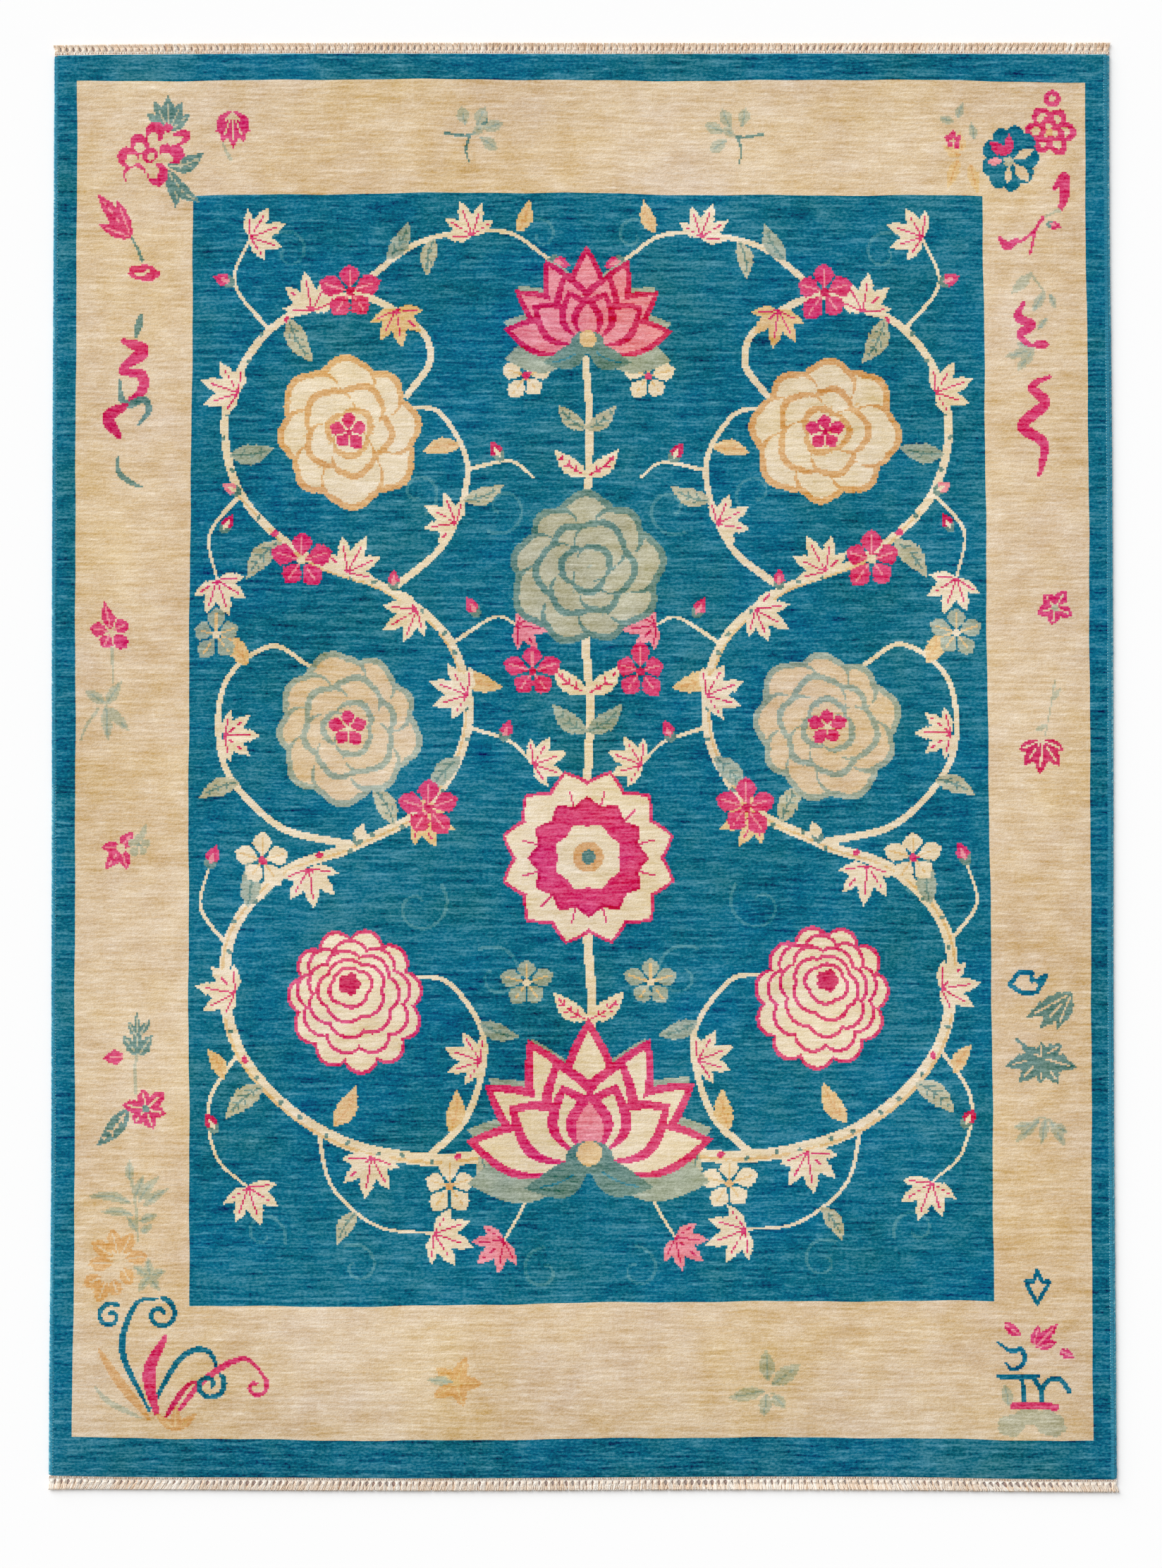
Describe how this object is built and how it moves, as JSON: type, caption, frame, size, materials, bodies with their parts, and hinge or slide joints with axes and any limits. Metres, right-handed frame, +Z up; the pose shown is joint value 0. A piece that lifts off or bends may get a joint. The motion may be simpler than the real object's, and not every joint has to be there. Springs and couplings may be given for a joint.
{
  "type": "hand-knotted rug",
  "caption": "Flat rectangular wool pile rug, cream flowered border on teal, overcast sides, short knotted cotton fringe at both ends.",
  "frame": {"origin": "middle of the whole rug's underside, fringe included, on the floor", "axes": "+Z up out of the pile, +Y along the length towards the top end, +X across to the right side"},
  "size_m": [2.754, 3.7278, 0.009],
  "materials": {
    "pile_wool": "cut wool pile, teal with a cream border",
    "overcast_wool": "wool yarn wrapped over the edge warps",
    "fringe_cotton": "undyed plied cotton"
  },
  "bodies": {
    "root": {"rug_pile": "pile_wool", "selvedge_left": "overcast_wool", "selvedge_right": "overcast_wool", "fringe_top": "fringe_cotton", "fringe_bottom": "fringe_cotton"}
  },
  "joints": []
}
